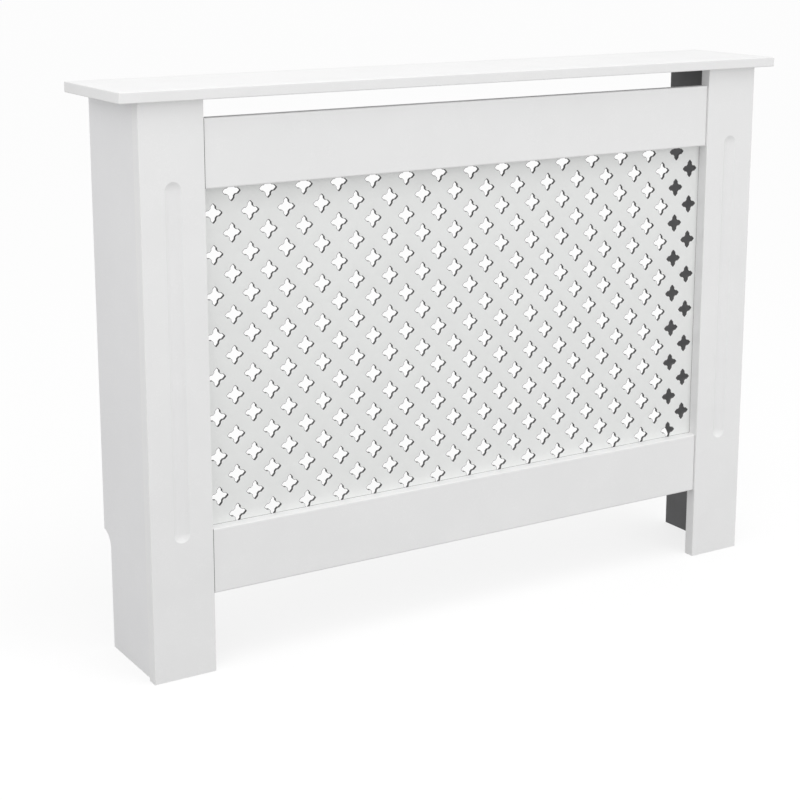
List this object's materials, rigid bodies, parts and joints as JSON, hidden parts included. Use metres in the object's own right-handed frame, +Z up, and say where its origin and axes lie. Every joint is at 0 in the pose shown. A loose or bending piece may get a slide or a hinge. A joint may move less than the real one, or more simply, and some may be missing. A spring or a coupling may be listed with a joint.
{
  "type": "radiator cover cabinet",
  "caption": "White painted board cabinet that stands over a radiator: shelf top, fluted front legs, side panels, two cross rails and a grille pierced with pointed crosses.",
  "frame": {"origin": "on the floor, midway along the width and the depth of the top board", "axes": "+X to the right seen from the front, +Y to the wall behind, +Z up; the cabinet is widest along X and shallowest along Y"},
  "size_m": [1.12, 0.19, 0.82],
  "materials": {
    "white_board": "MDF with satin white lacquer",
    "side_board": "MDF, satin white lacquer outside and dark grey backing coat inside",
    "grille_board": "pierced hardboard, white coated front, dark grey back and cut edges",
    "dowel_wood": "plain beech",
    "zinc_steel": "zinc-plated steel",
    "cast_zinc": "die-cast zinc alloy"
  },
  "bodies": {
    "root": {"top_board": "white_board", "left_leg_board": "white_board", "right_leg_board": "white_board", "left_side_panel": "side_board", "right_side_panel": "side_board", "upper_rail": "white_board", "lower_rail": "white_board", "grille_panel": "grille_board", "left_leg_dowels": "dowel_wood", "right_leg_dowels": "dowel_wood", "upper_rail_dowels": "dowel_wood", "lower_rail_dowels": "dowel_wood", "top_dowels": "dowel_wood", "rail_cam_bolts": "zinc_steel", "top_cam_bolts": "zinc_steel", "rail_cams": "cast_zinc", "top_cams": "cast_zinc", "grille_screws": "zinc_steel", "bracket_screws": "zinc_steel", "left_wall_bracket": "zinc_steel", "right_wall_bracket": "zinc_steel"}
  },
  "joints": []
}
